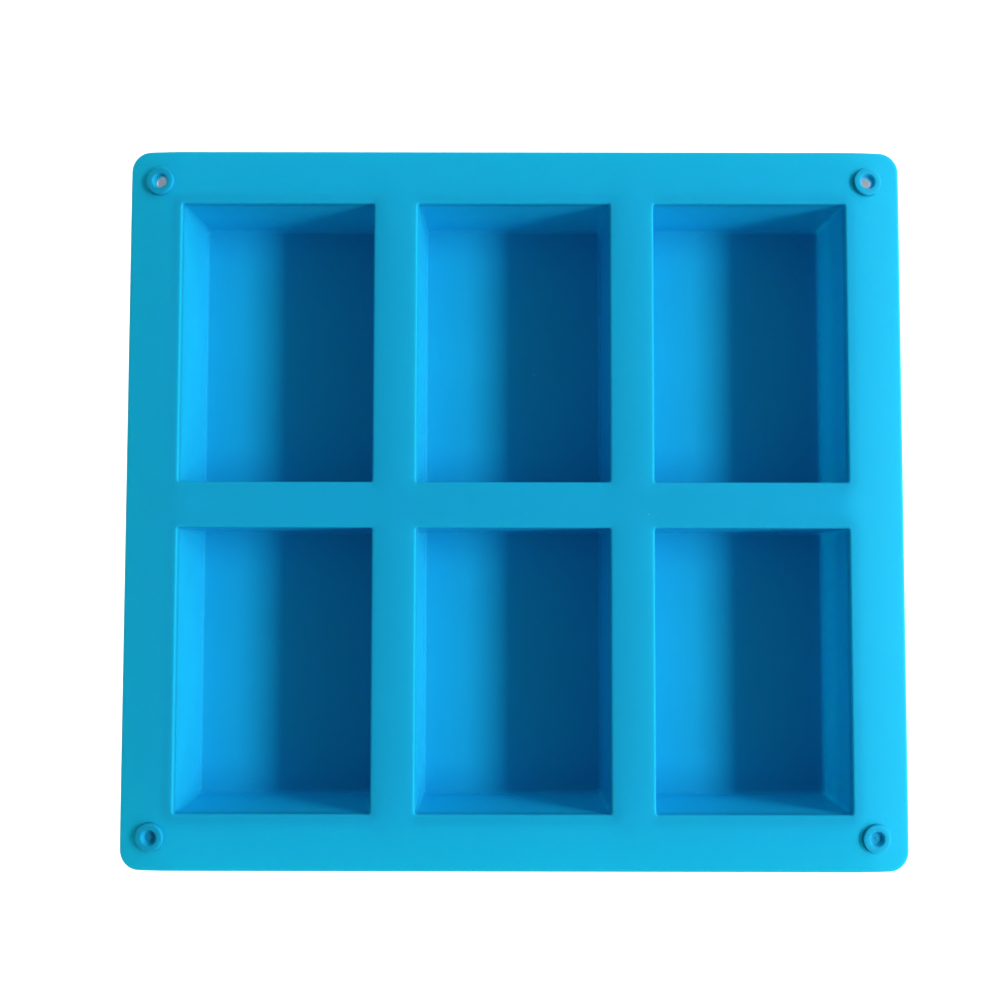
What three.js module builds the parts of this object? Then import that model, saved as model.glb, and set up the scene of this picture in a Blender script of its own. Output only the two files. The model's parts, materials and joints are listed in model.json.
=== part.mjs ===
// Silicone soap mould for six brick-shaped bars, moulded in one shot from silicone rubber.
// A flat deck carries three columns and two rows of cavity mouths. Under each mouth hangs a cup: four walls with a
// little draft, closed by a thin floor that can be pushed up to free the bar. A raised ring stands in each corner
// of the deck. The back two are pierced, to hang the mould up. The front two are blind.
//
// Frame: millimetres, +Z up, +X along the three columns, +Y towards the pierced rings. The origin is the centre of
// the outline on the surface that the cups stand on.
import * as THREE from "three";

// One bar.
const BAR_WIDTH = 55; // along X, at the mouth
const BAR_LENGTH = 80; // along Y, at the mouth
const BAR_DEPTH = 25;
const BAR_CORNER_RADIUS = 1;
const WALL_DRAFT = 0.6; // how far each wall leans in from the deck's underside to the cup's base

// The rubber round the bars.
const COLUMN_WEB = 12.5; // deck between two columns of mouths
const ROW_WEB = 13; // deck between the two rows of mouths
const RIM_MARGIN = 15.75; // deck outside the outermost mouths
const DECK_CORNER_RADIUS = 5.5;
const DECK_THICKNESS = 2;
const WALL_THICKNESS = 2;
const FLOOR_THICKNESS = 2;
const FLOOR_CLEARANCE = 0.1; // all round a floor, so that it can rise between its walls

// The corner rings.
const RING_INSET = 9.25; // from the deck's sides to a ring's centre
const RING_HEIGHT = 1.1;
const RING_WIDTH = 1.8; // of rubber along its crest
const RING_TAPER = 0.6; // how far the inside of a ring leans in, from its crest down to the deck
const RING_EDGE_RADIUS = 0.35;
const HOLE_DIAMETER = 3.1; // through the deck

const SILICONE = { color: 0x1ca6d7, roughness: 0.48, metalness: 0 };

const COLUMNS = ["left", "middle", "right"];
const ROWS = ["front", "back"];
const CORNER_DIVISIONS = 3; // three.js draws twice as many straight sides in each quarter turn
const CIRCLE_SIDES = 8 * CORNER_DIVISIONS;

const columnPitch = BAR_WIDTH + COLUMN_WEB;
const rowPitch = BAR_LENGTH + ROW_WEB;
const deckWidth = (COLUMNS.length - 1) * columnPitch + BAR_WIDTH + 2 * RIM_MARGIN;
const deckLength = (ROWS.length - 1) * rowPitch + BAR_LENGTH + 2 * RIM_MARGIN;
const deckTop = FLOOR_THICKNESS + BAR_DEPTH;
const deckUnderside = deckTop - DECK_THICKNESS;

// The centre of column i, or of row i, when `count` of them stand a pitch apart about the origin.
function place(i, count, pitch) {
  return (i - (count - 1) / 2) * pitch;
}

// Traces a rectangle with round corners, anticlockwise, on a THREE.Shape or a THREE.Path. It is a circle where the
// radius is half of both sides.
function roundedRectangle(outline, width, length, radius, x = 0, y = 0) {
  const [left, right, low, high] = [x - width / 2, x + width / 2, y - length / 2, y + length / 2];
  outline.moveTo(left + radius, low);
  outline.absarc(right - radius, low + radius, radius, -Math.PI / 2, 0, false);
  outline.absarc(right - radius, high - radius, radius, 0, Math.PI / 2, false);
  outline.absarc(left + radius, high - radius, radius, Math.PI / 2, Math.PI, false);
  outline.absarc(left + radius, low + radius, radius, Math.PI, 1.5 * Math.PI, false);
  return outline;
}

function slab(shape, depth) {
  return new THREE.ExtrudeGeometry(shape, { depth, curveSegments: CORNER_DIVISIONS, bevelEnabled: false });
}

// Leans the sides of a cup's solid inwards, from nothing at the deck's underside to the full draft at the base.
function lean(geometry) {
  const points = geometry.getAttribute("position");
  for (let i = 0; i < points.count; i++) {
    const inwards = WALL_DRAFT * (1 - points.getZ(i) / deckUnderside);
    points.setX(i, points.getX(i) - Math.sign(points.getX(i)) * inwards);
    points.setY(i, points.getY(i) - Math.sign(points.getY(i)) * inwards);
  }
  geometry.computeVertexNormals();
  return geometry;
}

// The deck: one plate with a hole for each mouth and for each pierced ring.
function deckGeometry(mouths, piercedHoles) {
  const plate = roundedRectangle(new THREE.Shape(), deckWidth, deckLength, DECK_CORNER_RADIUS);
  for (const [x, y] of mouths)
    plate.holes.push(roundedRectangle(new THREE.Path(), BAR_WIDTH, BAR_LENGTH, BAR_CORNER_RADIUS, x, y));
  for (const [x, y] of piercedHoles)
    plate.holes.push(roundedRectangle(new THREE.Path(), HOLE_DIAMETER, HOLE_DIAMETER, HOLE_DIAMETER / 2, x, y));
  return slab(plate, DECK_THICKNESS);
}

// The four walls of one cup, open at the top and the bottom.
function cupWallsGeometry() {
  const radius = BAR_CORNER_RADIUS + WALL_THICKNESS;
  const outer = [BAR_WIDTH + 2 * WALL_THICKNESS, BAR_LENGTH + 2 * WALL_THICKNESS];
  const walls = roundedRectangle(new THREE.Shape(), ...outer, radius);
  walls.holes.push(roundedRectangle(new THREE.Path(), BAR_WIDTH, BAR_LENGTH, BAR_CORNER_RADIUS));
  return lean(slab(walls, deckUnderside));
}

// The floor of one cup, which fills the walls from side to side but for its clearance.
function cupFloorGeometry() {
  const width = BAR_WIDTH - 2 * FLOOR_CLEARANCE;
  const length = BAR_LENGTH - 2 * FLOOR_CLEARANCE;
  return lean(slab(roundedRectangle(new THREE.Shape(), width, length, BAR_CORNER_RADIUS), FLOOR_THICKNESS));
}

// A raised ring: its section, turned about the hole, is a small block whose inner side leans in and whose two upper
// corners are rounded.
function ringGeometry() {
  const inner = HOLE_DIAMETER / 2;
  const crest = inner + RING_TAPER;
  const outer = crest + RING_WIDTH;
  const shoulder = RING_HEIGHT - RING_EDGE_RADIUS;
  const section = new THREE.Path();
  section.moveTo(inner, 0);
  section.lineTo(outer, 0);
  section.absarc(outer - RING_EDGE_RADIUS, shoulder, RING_EDGE_RADIUS, 0, Math.PI / 2, false);
  section.absarc(crest + RING_EDGE_RADIUS, shoulder, RING_EDGE_RADIUS, Math.PI / 2, Math.PI, false);
  section.lineTo(inner, 0);
  return new THREE.LatheGeometry(section.getPoints(1), CIRCLE_SIDES).rotateX(Math.PI / 2);
}

const mould = new THREE.Group();

function add(name, geometry, x, y, z) {
  const mesh = new THREE.Mesh(geometry, new THREE.MeshStandardMaterial(SILICONE));
  mesh.name = name;
  mesh.position.set(x, y, z);
  mould.add(mesh);
}

const bars = ROWS.flatMap((row, j) =>
  COLUMNS.map((column, i) => ({
    name: `${row}_${column}`,
    x: place(i, COLUMNS.length, columnPitch),
    y: place(j, ROWS.length, rowPitch),
  })),
);
const rings = ROWS.flatMap((row) =>
  ["left", "right"].map((side) => ({
    name: `${row === "back" ? "hanging" : "blind"}_ring_${row}_${side}`,
    pierced: row === "back",
    x: (side === "left" ? -1 : 1) * (deckWidth / 2 - RING_INSET),
    y: (row === "front" ? -1 : 1) * (deckLength / 2 - RING_INSET),
  })),
);

const mouths = bars.map((bar) => [bar.x, bar.y]);
const piercedHoles = rings.filter((ring) => ring.pierced).map((ring) => [ring.x, ring.y]);
add("deck", deckGeometry(mouths, piercedHoles), 0, 0, deckUnderside);
for (const bar of bars) {
  add(`cup_walls_${bar.name}`, cupWallsGeometry(), bar.x, bar.y, 0);
  add(`cup_floor_${bar.name}`, cupFloorGeometry(), bar.x, bar.y, 0);
}
for (const ring of rings) add(ring.name, ringGeometry(), ring.x, ring.y, deckTop);

export default mould;
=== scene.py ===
import json
import math

import bmesh
import bpy
from mathutils import Euler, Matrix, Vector
from mathutils.geometry import delaunay_2d_cdt

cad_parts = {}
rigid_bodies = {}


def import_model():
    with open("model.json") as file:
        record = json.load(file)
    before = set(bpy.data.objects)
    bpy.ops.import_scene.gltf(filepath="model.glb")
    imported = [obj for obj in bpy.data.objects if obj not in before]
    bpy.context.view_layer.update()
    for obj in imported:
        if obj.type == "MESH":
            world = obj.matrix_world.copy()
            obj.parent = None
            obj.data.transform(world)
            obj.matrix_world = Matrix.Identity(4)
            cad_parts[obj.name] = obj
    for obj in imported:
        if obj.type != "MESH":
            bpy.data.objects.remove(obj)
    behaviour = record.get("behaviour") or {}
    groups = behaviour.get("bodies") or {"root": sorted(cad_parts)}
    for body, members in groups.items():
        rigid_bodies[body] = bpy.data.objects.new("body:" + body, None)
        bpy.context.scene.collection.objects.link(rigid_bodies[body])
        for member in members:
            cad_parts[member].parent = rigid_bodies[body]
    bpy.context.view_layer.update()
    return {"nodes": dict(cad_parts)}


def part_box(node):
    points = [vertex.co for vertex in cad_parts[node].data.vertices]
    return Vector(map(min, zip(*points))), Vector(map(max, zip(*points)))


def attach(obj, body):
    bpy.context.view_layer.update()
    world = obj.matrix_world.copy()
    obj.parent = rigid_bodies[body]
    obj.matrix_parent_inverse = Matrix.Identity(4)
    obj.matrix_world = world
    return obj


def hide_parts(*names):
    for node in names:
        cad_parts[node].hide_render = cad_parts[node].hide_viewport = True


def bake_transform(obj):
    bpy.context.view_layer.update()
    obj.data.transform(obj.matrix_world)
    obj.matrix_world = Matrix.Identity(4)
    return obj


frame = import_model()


# -----------------------------------------------------------------------------------------------------
# THE DECK
# A flange of silicone rubber, 2 mm thick, that joins the six cups, pressed with them between steel plates.
# Each mouth rolls over a small lip into its cup. As the rubber cooled, the webs between the mouths stayed
# slightly crowned, and the free rim curled down. Two holes near its back corners let it hang up to dry.

MM = 0.001

deck_low, deck_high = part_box("deck")
DECK_TOP = deck_high.z
DECK_UNDERSIDE = deck_low.z
DECK_THICKNESS = DECK_TOP - DECK_UNDERSIDE
DECK_CORNER = 5.5 * MM
DECK_EDGE = 0.7 * MM  # how round the rim's upper edge is
DECK_HEM = 0.4 * MM  # how round its lower edge is

CUP_PLACES = sorted(name[len("cup_walls_"):] for name in frame["nodes"] if name.startswith("cup_walls_"))
cup_boxes = {place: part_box("cup_walls_" + place) for place in CUP_PLACES}
cup_middles = {place: (low + high) / 2 for place, (low, high) in cup_boxes.items()}
cup_low, cup_high = cup_boxes[CUP_PLACES[0]]
CUP_WALL = 2 * MM
MOUTH_WIDTH = cup_high.x - cup_low.x - 2 * CUP_WALL
MOUTH_LENGTH = cup_high.y - cup_low.y - 2 * CUP_WALL
MOUTH_CORNER = 0.7 * MM
MOUTH_LIP = 0.5 * MM
WALL_LEAN = 0.6 * MM  # how far a wall leans in, from the deck's underside down to the cup's base
WALL_DRAFT = WALL_LEAN / DECK_UNDERSIDE  # the same for each unit of depth
FLOOR_CORNER = 1.5 * MM  # the cup's corners are rounder at its floor than at its mouth

column_places = sorted({round(middle.x, 6) for middle in cup_middles.values()})
row_places = sorted({round(middle.y, 6) for middle in cup_middles.values()})
column_webs = [(a + b) / 2 for a, b in zip(column_places, column_places[1:])]
row_webs = [(a + b) / 2 for a, b in zip(row_places, row_places[1:])]
HALF_COLUMN_WEB = (column_places[1] - column_places[0] - MOUTH_WIDTH) / 2
HALF_ROW_WEB = (row_places[1] - row_places[0] - MOUTH_LENGTH) / 2
MOUTHS_REACH = Vector((column_places[-1] + MOUTH_WIDTH / 2, row_places[-1] + MOUTH_LENGTH / 2))

WEB_CROWN = 0.3 * MM
RIM_SLOPE_AT_MOUTHS = math.tan(math.radians(3))
RIM_SLOPE_GAINED = math.tan(math.radians(6))
RIM_SLOPE_WITHIN = 5 * MM
END_CURL = 0.55  # of the front and back rims, against the curl of the side rims
RIM_SHIFT = Vector((0.4, -0.3)) * MM  # the flange was trimmed a little off the middle of the cups
RIM_THINS_FROM = 3 * MM  # outside the mouths, past the cups' walls

RING_WIDTH = 1.8 * MM  # of rubber along its crest
RING_TAPER = 0.6 * MM  # how far its inside leans in, from its crest down to the deck
ring_boxes = {name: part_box(name) for name in sorted(frame["nodes"]) if "_ring_" in name}
ring_middles = {name: (low + high) / 2 for name, (low, high) in ring_boxes.items()}
ring_low, ring_high = ring_boxes["hanging_ring_back_left"]
RING_RADIUS = (ring_high.x - ring_low.x) / 2
HOLE_RADIUS = RING_RADIUS - RING_WIDTH - RING_TAPER
HOLE_HEM = 0.3 * MM  # how round the lower edge of a hole is

ROUND_STEPS = 5  # faces across a rounded edge
CORNER_STEPS = 8  # faces round a quarter of a corner
CIRCLE_STEPS = 12  # and of a small circle
SIDE_STEP = 4 * MM  # between points along a straight side
GRID_STEP = 3 * MM  # between points inside a face
FLAT_BORDER = 0.3 * MM  # a strip round each face that keeps its shading flat
WELD = 0.0005 * MM
SHARP_ANGLE = math.radians(40)


def outside_mouths(x, y):
    """How far a point of the deck lies outside all the mouths, counted less where the rim curls less."""
    beside = max(abs(x) - MOUTHS_REACH.x, 0)
    beyond = max(abs(y) - MOUTHS_REACH.y, 0)
    return math.hypot(beside, END_CURL * beyond)


def curl(distance):
    """How far the rim has dropped at a distance outside the mouths. Its slope grows on the way out."""
    gained = distance - RIM_SLOPE_WITHIN * (1 - math.exp(-distance / RIM_SLOPE_WITHIN))
    return RIM_SLOPE_AT_MOUTHS * distance + RIM_SLOPE_GAINED * gained


def off_web(value, webs, half_width):
    """0 along the middle of a web, 1 at its sides and beyond."""
    return min(1.0, min(abs(value - web) for web in webs) / half_width)


def deck_surface(x, y):
    """Height of the deck's upper face."""
    out = outside_mouths(x, y)
    web = 1 - (off_web(x, column_webs, HALF_COLUMN_WEB) * off_web(y, row_webs, HALF_ROW_WEB)) ** 2
    fade = max(0.0, 1 - out / HALF_COLUMN_WEB) ** 2
    return DECK_TOP + WEB_CROWN * web * fade - curl(out)


def deck_lower_surface(x, y):
    """Height of the deck's lower face, which is flat where the cups' walls run into it."""
    return DECK_UNDERSIDE - curl(max(0.0, outside_mouths(x, y) - RIM_THINS_FROM))


class Outline:
    """A rectangle with round corners, seen from above. With no straight sides it is a circle."""

    def __init__(self, middle, width, length, radius, corner_steps=CORNER_STEPS):
        self.x, self.y = middle[0], middle[1]
        self.width, self.length, self.radius = width, length, radius
        self.corner_steps = corner_steps
        self.side_steps = [max(1, round((side - 2 * radius) / SIDE_STEP)) for side in (width, length)]

    def grown(self, by, radius=None):
        """The same outline moved out by a distance, with as many points."""
        corner = self.radius + by if radius is None else radius
        size = self.width + 2 * by, self.length + 2 * by
        bigger = Outline((self.x, self.y), *size, corner, self.corner_steps)
        bigger.side_steps = self.side_steps
        return bigger

    def points(self):
        """Points along it, anticlockwise from the back end of its right side."""
        arcs = []
        for quarter, (right, back) in enumerate(((1, 1), (-1, 1), (-1, -1), (1, -1))):
            centre = Vector((
                self.x + right * (self.width / 2 - self.radius),
                self.y + back * (self.length / 2 - self.radius),
            ))
            turns = [quarter + i / self.corner_steps for i in range(self.corner_steps + 1)]
            angles = [math.radians(90) * turn for turn in turns]
            arcs.append([centre + self.radius * Vector((math.cos(a), math.sin(a))) for a in angles])
        points = []
        for quarter, arc in enumerate(arcs):
            start, end = arc[-1], arcs[(quarter + 1) % 4][0]
            steps = self.side_steps[quarter % 2]
            if (end - start).length < WELD:
                points += arc[:-1]
            else:
                points += arc + [start.lerp(end, i / steps) for i in range(1, steps)]
        return points

    def outside(self, x, y):
        """How far a point lies outside it: below 0 for a point inside."""
        over_x = abs(x - self.x) - (self.width / 2 - self.radius)
        over_y = abs(y - self.y) - (self.length / 2 - self.radius)
        return math.hypot(max(over_x, 0), max(over_y, 0)) + min(max(over_x, over_y), 0) - self.radius


def circle(middle, radius):
    return Outline(middle, 2 * radius, 2 * radius, radius, CIRCLE_STEPS)


def raised(outline, height):
    """An outline's points, each at the height that a function gives for its place."""
    return [Vector((p.x, p.y, height(p.x, p.y))) for p in outline.points()]


def level(height):
    return lambda x, y: height


def band(shape, loops):
    """Joins closed loops of points, all of one length, with a strip of faces between each two."""
    rows = [[shape.verts.new(point) for point in loop] for loop in loops]
    for one, other in zip(rows, rows[1:]):
        for i in range(len(one)):
            j = (i + 1) % len(one)
            shape.faces.new((one[i], one[j], other[j], other[i]))


def fill(shape, outline, holes, height):
    """Fills an outline, round its holes, with small triangles at the height that a function gives."""
    loops = [o.points() for o in (outline, *holes)]
    points = [point for loop in loops for point in loop]
    edges = []
    for loop in loops:
        first = len(edges)
        edges += [(first + i, first + (i + 1) % len(loop)) for i in range(len(loop))]
    columns = int(outline.width / GRID_STEP)
    rows = int(outline.length / GRID_STEP)
    for i in range(columns + 1):
        for j in range(rows + 1):
            x = outline.x + (i / columns - 0.5) * outline.width
            y = outline.y + (j / rows - 0.5) * outline.length
            clear = min(-outline.outside(x, y), *(hole.outside(x, y) for hole in holes), math.inf)
            if clear > GRID_STEP / 2:
                points.append(Vector((x, y)))
    found = delaunay_2d_cdt([point / MM for point in points], edges, [], 0, WELD / MM, True)
    places = [place * MM for place in found[0]]
    corners = {}
    for triangle in found[2]:
        middle = sum((places[i] for i in triangle), Vector((0, 0))) / 3
        if outline.outside(*middle) > -WELD or any(hole.outside(*middle) < WELD for hole in holes):
            continue
        for i in triangle:
            if i not in corners:
                corners[i] = shape.verts.new((*places[i], height(*places[i])))
        shape.faces.new([corners[i] for i in triangle])


def quarter_round(radius):
    """(across, up or down) of points along a rounded edge, from where it is flat to where it is upright."""
    angles = [math.radians(90) * i / ROUND_STEPS for i in range(ROUND_STEPS + 1)]
    return [(radius * math.sin(a), radius * (1 - math.cos(a))) for a in angles]


def moulded(name, shape):
    """Makes a closed shape an object. Strips that meet are welded, and only real corners stay sharp."""
    bmesh.ops.remove_doubles(shape, verts=shape.verts, dist=WELD)
    bmesh.ops.recalc_face_normals(shape, faces=shape.faces)
    mesh = bpy.data.meshes.new(name)
    shape.to_mesh(mesh)
    shape.free()
    mesh.shade_smooth()
    mesh.set_sharp_from_angle(angle=SHARP_ANGLE)
    piece = bpy.data.objects.new(name, mesh)
    bpy.context.scene.collection.objects.link(piece)
    return piece


def cup_outline(place, depth):
    """The inside of a cup at a depth below the deck's top: smaller the deeper, with rounder corners."""
    mouth = Outline(cup_middles[place], MOUTH_WIDTH, MOUTH_LENGTH, MOUTH_CORNER)
    return mouth.grown(-WALL_DRAFT * depth, MOUTH_CORNER + (FLOOR_CORNER - MOUTH_CORNER) * depth / DECK_TOP)


def through_deck(share):
    """The height that lies a share of the way from the deck's upper face to its lower one."""
    return lambda x, y: deck_surface(x, y) + share * (deck_lower_surface(x, y) - deck_surface(x, y))


deck_shape = bmesh.new()
rim = Outline(RIM_SHIFT, deck_high.x - deck_low.x, deck_high.y - deck_low.y, DECK_CORNER)
upper_face = rim.grown(-DECK_EDGE - FLAT_BORDER)
lower_face = rim.grown(-DECK_HEM - FLAT_BORDER)
rim_loops = [raised(upper_face, deck_surface)]
for across, down in quarter_round(DECK_EDGE):
    rim_loops.append(raised(rim.grown(across - DECK_EDGE), through_deck(down / DECK_THICKNESS)))
for across, up in reversed(quarter_round(DECK_HEM)):
    rim_loops.append(raised(rim.grown(across - DECK_HEM), through_deck(1 - up / DECK_THICKNESS)))
rim_loops.append(raised(lower_face, deck_lower_surface))
band(deck_shape, rim_loops)

upper_holes, lower_holes = [], []
for place in CUP_PLACES:
    upper_hole = cup_outline(place, 0).grown(MOUTH_LIP + FLAT_BORDER)
    lower_hole = cup_outline(place, DECK_THICKNESS)
    mouth_loops = [raised(upper_hole, deck_surface)]
    for across, down in quarter_round(MOUTH_LIP):
        lip = cup_outline(place, down).grown(MOUTH_LIP - across)
        mouth_loops.append(raised(lip, lambda x, y: deck_surface(x, y) - down))
    mouth_loops.append(raised(lower_hole, level(DECK_UNDERSIDE)))
    band(deck_shape, mouth_loops)
    upper_holes.append(upper_hole)
    lower_holes.append(lower_hole)
for name, middle in ring_middles.items():
    if name.startswith("hanging"):
        hole = circle(middle, HOLE_RADIUS)
        hole_loops = [raised(hole, deck_surface)]
        for across, up in reversed(quarter_round(HOLE_HEM)):
            hole_loops.append(raised(hole.grown(HOLE_HEM - across), through_deck(1 - up / DECK_THICKNESS)))
        band(deck_shape, hole_loops)
        upper_holes.append(hole)
        lower_holes.append(hole.grown(HOLE_HEM))
fill(deck_shape, upper_face, upper_holes, deck_surface)
fill(deck_shape, lower_face, lower_holes, deck_lower_surface)
deck = moulded("deck_skin", deck_shape)

# Platinum-cured silicone rubber, pressed in spark-eroded steel. It lets a little light through, so a
# thin wall glows where the other side is lit. The steel leaves a fine satin grain that spreads each
# highlight, and the tacky skin holds dust.
SILICONE_BLUE = "#19b3e4"
SILICONE_DEEP = "#17afe0"
SHEEN = 0.48  # a bare surface of this IOR has 0.5
SHEEN_BLUE = "#40d0ff"  # the pigment lies so near the skin that it tints the sheen
DUST = "#9fd6e8"
SILICONE_IOR = 1.41
SATIN = 0.45  # roughness
GLOW = 0.45  # the share of the light that goes through the skin instead of turning back at it
GLOW_DEPTH = 5.5 * MM
GLOW_BY_COLOUR = (0.3, 1.4, 0.9)
GRAIN = 0.35 * MM  # the real grain is about 0.05 mm, and it is drawn coarser so that it shows
GRAIN_HEIGHT = 0.008 * MM
CLOUD = 35 * MM  # patches where the pigment is a little deeper
DUST_APART = 18 * MM
DUST_SIZE = 0.16 * MM


def linear(hex_colour):
    """An sRGB hex colour as linear red, green, blue and alpha."""
    parts = [int(hex_colour[i:i + 2], 16) / 255 for i in (1, 3, 5)]
    return [c / 12.92 if c <= 0.04045 else ((c + 0.055) / 1.055) ** 2.4 for c in parts] + [1.0]


def node(tree, kind, inputs, **settings):
    """Adds a node with its settings, and sets or links each of its inputs."""
    made = tree.nodes.new(kind)
    for key, value in settings.items():
        setattr(made, key, value)
    for key, value in inputs.items():
        if isinstance(value, bpy.types.NodeSocket):
            tree.links.new(value, made.inputs[key])
        else:
            made.inputs[key].default_value = value
    return made


satin_silicone = bpy.data.materials.new("satin moulded silicone rubber")
satin_silicone.use_nodes = True
tree = satin_silicone.node_tree
tree.nodes.clear()
place_on_mould = node(tree, "ShaderNodeTexCoord", {}).outputs["Object"]
cloud = node(tree, "ShaderNodeTexNoise", {"Vector": place_on_mould, "Scale": 1 / CLOUD, "Detail": 3.0})
pigment = node(
    tree, "ShaderNodeMix", {0: cloud.outputs[0], 6: linear(SILICONE_DEEP), 7: linear(SILICONE_BLUE)},
    data_type="RGBA",
)
specks = node(tree, "ShaderNodeTexVoronoi", {"Vector": place_on_mould, "Scale": 1 / DUST_APART})
on_speck = node(
    tree, "ShaderNodeMath", {0: specks.outputs["Distance"], 1: DUST_SIZE / DUST_APART}, operation="LESS_THAN",
)
dusty = node(
    tree, "ShaderNodeMix", {0: on_speck.outputs[0], 6: pigment.outputs[2], 7: linear(DUST)}, data_type="RGBA",
)
grain = node(tree, "ShaderNodeTexNoise", {"Vector": place_on_mould, "Scale": 1 / GRAIN, "Detail": 2.0})
grain_bump = node(tree, "ShaderNodeBump", {"Height": grain.outputs[0], "Distance": GRAIN_HEIGHT})
silicone_shader = node(tree, "ShaderNodeBsdfPrincipled", {
    "Base Color": dusty.outputs[2], "Roughness": SATIN, "IOR": SILICONE_IOR, "Normal": grain_bump.outputs[0],
    "Specular IOR Level": SHEEN, "Specular Tint": linear(SHEEN_BLUE),
    "Subsurface Weight": GLOW, "Subsurface Scale": GLOW_DEPTH, "Subsurface Radius": GLOW_BY_COLOUR,
})
node(tree, "ShaderNodeOutputMaterial", {"Surface": silicone_shader.outputs[0]})

deck.data.materials.append(satin_silicone)
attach(deck, "mould")
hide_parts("deck")


# -----------------------------------------------------------------------------------------------------
# THE SIX CUPS
# Each cup shapes one bar: four walls that lean in a little, so that the bar slides out, and a thin floor.
# They are one skin of rubber with the deck.

floor_low, floor_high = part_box("cup_floor_" + CUP_PLACES[0])
FLOOR_TOP = floor_high.z
CUP_BOTTOM = floor_low.z
FLOOR_ROUND = 1.1 * MM  # inside, where a wall turns into the floor
BOTTOM_ROUND = 2.4 * MM  # outside, below it
ROOT_ROUND = RIM_THINS_FROM - CUP_WALL  # outside, where a wall turns into the deck
WALL_STEPS = 14


def spread(start, end, steps):
    return [start + (end - start) * i / steps for i in range(steps + 1)]


for place in CUP_PLACES:
    loops = []

    def loop_at(height, grown):
        loops.append(raised(cup_outline(place, DECK_TOP - height).grown(grown), level(height)))

    for across, up in quarter_round(FLOOR_ROUND):
        loop_at(FLOOR_TOP + up, across - FLOOR_ROUND)
    for height in spread(FLOOR_TOP + FLOOR_ROUND, DECK_UNDERSIDE, WALL_STEPS)[1:]:
        loop_at(height, 0)
    for across, down in quarter_round(ROOT_ROUND):
        loop_at(DECK_UNDERSIDE - down, CUP_WALL + ROOT_ROUND - across)
    for height in spread(DECK_UNDERSIDE - ROOT_ROUND, CUP_BOTTOM + BOTTOM_ROUND, WALL_STEPS)[1:-1]:
        loop_at(height, CUP_WALL)
    for across, up in reversed(quarter_round(BOTTOM_ROUND)):
        loop_at(CUP_BOTTOM + up, CUP_WALL + across - BOTTOM_ROUND)

    cup_shape = bmesh.new()
    band(cup_shape, loops)
    floor_inside = cup_outline(place, DECK_TOP - FLOOR_TOP).grown(-FLOOR_ROUND)
    floor_outside = cup_outline(place, DECK_TOP - CUP_BOTTOM).grown(CUP_WALL - BOTTOM_ROUND)
    fill(cup_shape, floor_inside, [], level(FLOOR_TOP))
    fill(cup_shape, floor_outside, [], level(CUP_BOTTOM))
    cup = moulded("cup_skin_" + place, cup_shape)
    cup.data.materials.append(satin_silicone)
    middle = cup_middles[place]
    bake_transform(cup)
    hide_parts("cup_walls_" + place, "cup_floor_" + place)


# -----------------------------------------------------------------------------------------------------
# THE FOUR RINGS
# A raised ring of the same rubber stands at each corner of the deck. The back two strengthen the holes
# that the mould hangs by. The front two are blind, and the pin that shaped each one's pit left a pip in it.

RING_HEIGHT = 1.1 * MM
RING_ROUND = 0.2 * MM
RING_FOOT = 0.2 * MM  # the small fillet that it stands on
RING_ROOT = 0.2 * MM  # how deep it is let into the deck
PIP_RADIUS = 0.45 * MM
PIP_HEIGHT = 0.12 * MM
PIP_STEPS = 4


def over_deck(height):
    return lambda x, y: deck_surface(x, y) + height


for name, middle in ring_middles.items():
    profile = []
    if name.startswith("hanging"):
        profile += [(HOLE_RADIUS, 0)]
    else:
        angles = spread(0, math.pi / 2, PIP_STEPS)
        profile += [(PIP_RADIUS * math.sin(a), PIP_HEIGHT * math.cos(a)) for a in angles]
        pit_radius = HOLE_RADIUS - RING_FOOT
        profile += [(pit_radius + across, up) for across, up in quarter_round(RING_FOOT)]
    profile += [
        (HOLE_RADIUS + RING_TAPER + RING_ROUND - across, RING_HEIGHT - down)
        for across, down in reversed(quarter_round(RING_ROUND))
    ]
    profile += [
        (RING_RADIUS - RING_ROUND + across, RING_HEIGHT - down)
        for across, down in quarter_round(RING_ROUND)
    ]
    profile += [
        (RING_RADIUS + RING_FOOT - across, up) for across, up in reversed(quarter_round(RING_FOOT))
    ]
    profile += [(RING_RADIUS + RING_FOOT, -RING_ROOT)]
    profile += profile[:1] if name.startswith("hanging") else [(0, -RING_ROOT)]
    ring_shape = bmesh.new()
    band(ring_shape, [raised(circle(middle, radius), over_deck(height)) for radius, height in profile])
    ring = moulded(name + "_skin", ring_shape)
    ring.data.materials.append(satin_silicone)
    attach(ring, "mould")
    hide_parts(name)


# -----------------------------------------------------------------------------------------------------
# THE TABLE AND THE LIGHT
# The mould stands on a sheet of white paper. A long soft panel, the key, lights it from its right side, low
# enough to shade each cup's floor, with a weaker wing at each end. Pale walls all round fill the shadows.
# A flag keeps the key off the paper, and a lamp high above keeps the paper white.

PAPER = "#f4f4f2"
PAPER_ROUGHNESS = 0.9
PAPER_SIZE = 3.0  # metres, like the distances of the lights
PANEL_DISTANCE = 2.0
KEY_SPREAD = (-20, 20)  # degrees round from the mould's right side, towards its back
KEY_HEIGHT = (31, 41)  # degrees up
KEY_LIGHT = 7.0  # how bright the panel is all over
WING_SPREADS = ((-55, -20), (20, 55))
WING_HEIGHT = (15, 33)
WING_LIGHT = 1.0
WALLS = "#ffffff"
FILL = 0.18  # light from the walls
WALLS_LOOK = 0.95  # how bright they look to the camera
PAPER_LAMP_POWER = 230  # watts
PAPER_LAMP_FORWARD = 0.9
PAPER_LAMP_HEIGHT = 4.0
PAPER_LAMP_SIZE = 0.2

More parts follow.
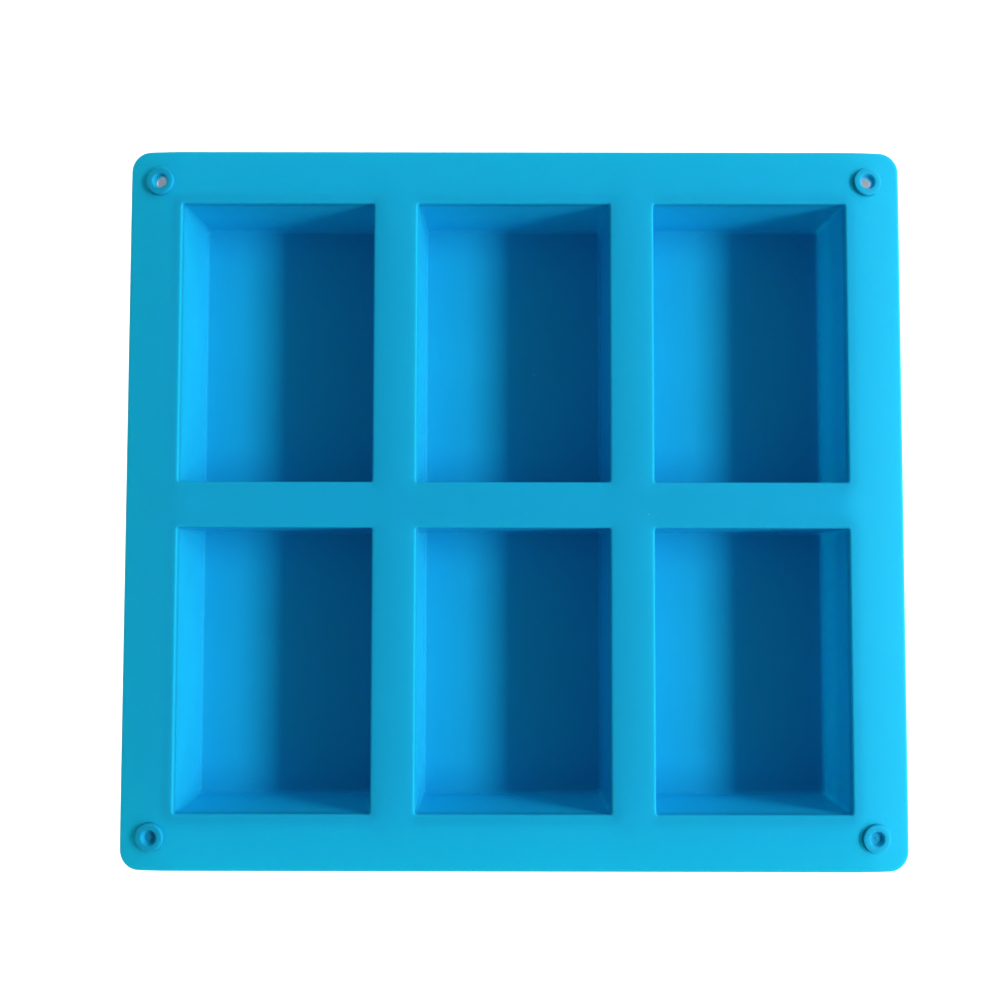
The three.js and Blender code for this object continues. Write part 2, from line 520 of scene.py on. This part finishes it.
paper_mesh = bpy.data.meshes.new("paper")
half = PAPER_SIZE / 2
paper_corners = [(-half, -half), (half, -half), (half, half), (-half, half)]
paper_mesh.from_pydata([(x, y, CUP_BOTTOM) for x, y in paper_corners], [], [(0, 1, 2, 3)])
paper = bpy.data.objects.new("paper", paper_mesh)
bpy.context.scene.collection.objects.link(paper)
matte_paper = bpy.data.materials.new("matte white paper")
matte_paper.use_nodes = True
paper_shader = matte_paper.node_tree.nodes["Principled BSDF"]
paper_shader.inputs["Base Color"].default_value = linear(PAPER)
paper_shader.inputs["Roughness"].default_value = PAPER_ROUGHNESS
paper_mesh.materials.append(matte_paper)


def lamp(name, place, width, height, power):
    """A soft rectangular lamp that faces the middle of the mould."""
    light = bpy.data.lights.new(name, "AREA")
    light.shape = "RECTANGLE"
    light.size = width
    light.size_y = height
    light.energy = power
    stand = bpy.data.objects.new(name, light)
    stand.location = place
    stand.rotation_euler = (-place).to_track_quat("-Z", "Y").to_euler()
    bpy.context.scene.collection.objects.link(stand)
    return stand


def softbox(name, spread_degrees, height_degrees, light):
    """A lamp that covers a patch of the room round the mould, as bright all over as light says."""
    left, right = (math.radians(angle) for angle in spread_degrees)
    low, high = (math.radians(angle) for angle in height_degrees)
    round_it, up = (left + right) / 2, (low + high) / 2
    place = Vector((math.cos(round_it) * math.cos(up), math.sin(round_it) * math.cos(up), math.sin(up)))
    width = 2 * PANEL_DISTANCE * math.cos(up) * math.tan((right - left) / 2)
    height = 2 * PANEL_DISTANCE * math.tan((high - low) / 2)
    return lamp(name, place * PANEL_DISTANCE, width, height, 4 * math.pi * width * height * light)


only_mould = bpy.data.collections.new("lit by the key")
for piece in bpy.context.scene.objects:
    if "_skin" in piece.name:
        only_mould.objects.link(piece)
key = softbox("key", KEY_SPREAD, KEY_HEIGHT, KEY_LIGHT)
key.light_linking.receiver_collection = only_mould
for side, wing_spread in zip(("front", "back"), WING_SPREADS):
    softbox(side + "_wing", wing_spread, WING_HEIGHT, WING_LIGHT)

paper_lamp = lamp(
    "paper_lamp", Vector((0, -PAPER_LAMP_FORWARD, PAPER_LAMP_HEIGHT)),
    PAPER_LAMP_SIZE, PAPER_LAMP_SIZE, PAPER_LAMP_POWER,
)
only_paper = bpy.data.collections.new("lit by the paper lamp")
only_paper.objects.link(paper)
paper_lamp.light_linking.receiver_collection = only_paper

studio = bpy.data.worlds.new("pale studio walls")
studio.use_nodes = True
walls = studio.node_tree
walls.nodes.clear()
lit = node(walls, "ShaderNodeBackground", {"Color": linear(WALLS), "Strength": FILL})
seen = node(walls, "ShaderNodeBackground", {"Color": linear(WALLS), "Strength": WALLS_LOOK})
looked_at = node(walls, "ShaderNodeLightPath", {}).outputs["Is Camera Ray"]
both = node(walls, "ShaderNodeMixShader", {0: looked_at, 1: lit.outputs[0], 2: seen.outputs[0]})
node(walls, "ShaderNodeOutputWorld", {"Surface": both.outputs[0]})
bpy.context.scene.world = studio
bpy.context.scene.view_settings.view_transform = "Standard"


# -----------------------------------------------------------------------------------------------------
# THE CAMERA
# It looks down on the mould from about 30 cm above the deck, nearly straight, and a little off its middle.
# It is this near that the walls of every cup lean outwards in the view.

CAMERA_LENS = 39.146  # mm, on a sensor 36 mm wide
CAMERA_SENSOR = 36
CAMERA_PLACE = Vector((-3.76, 1.41, 307.45)) * MM  # from the middle of the deck's top, before the turn
CAMERA_TURN = (0.0487, 0.0009, 0.0018)  # radians about X, Y and Z
NEAREST_SEEN = 0.01

camera = bpy.data.objects.new("camera", bpy.data.cameras.new("camera"))
camera.data.lens = CAMERA_LENS
camera.data.sensor_width = CAMERA_SENSOR
camera.data.clip_start = NEAREST_SEEN
turn = Euler([-angle for angle in CAMERA_TURN], "XYZ").to_matrix().inverted()
camera.location = turn @ CAMERA_PLACE + Vector((0, 0, DECK_TOP))
camera.rotation_euler = turn.to_euler()
bpy.context.scene.collection.objects.link(camera)
bpy.context.scene.camera = camera


def corners(box):
    """A box's two corners as plain lists of numbers."""
    return [list(corner) for corner in box]
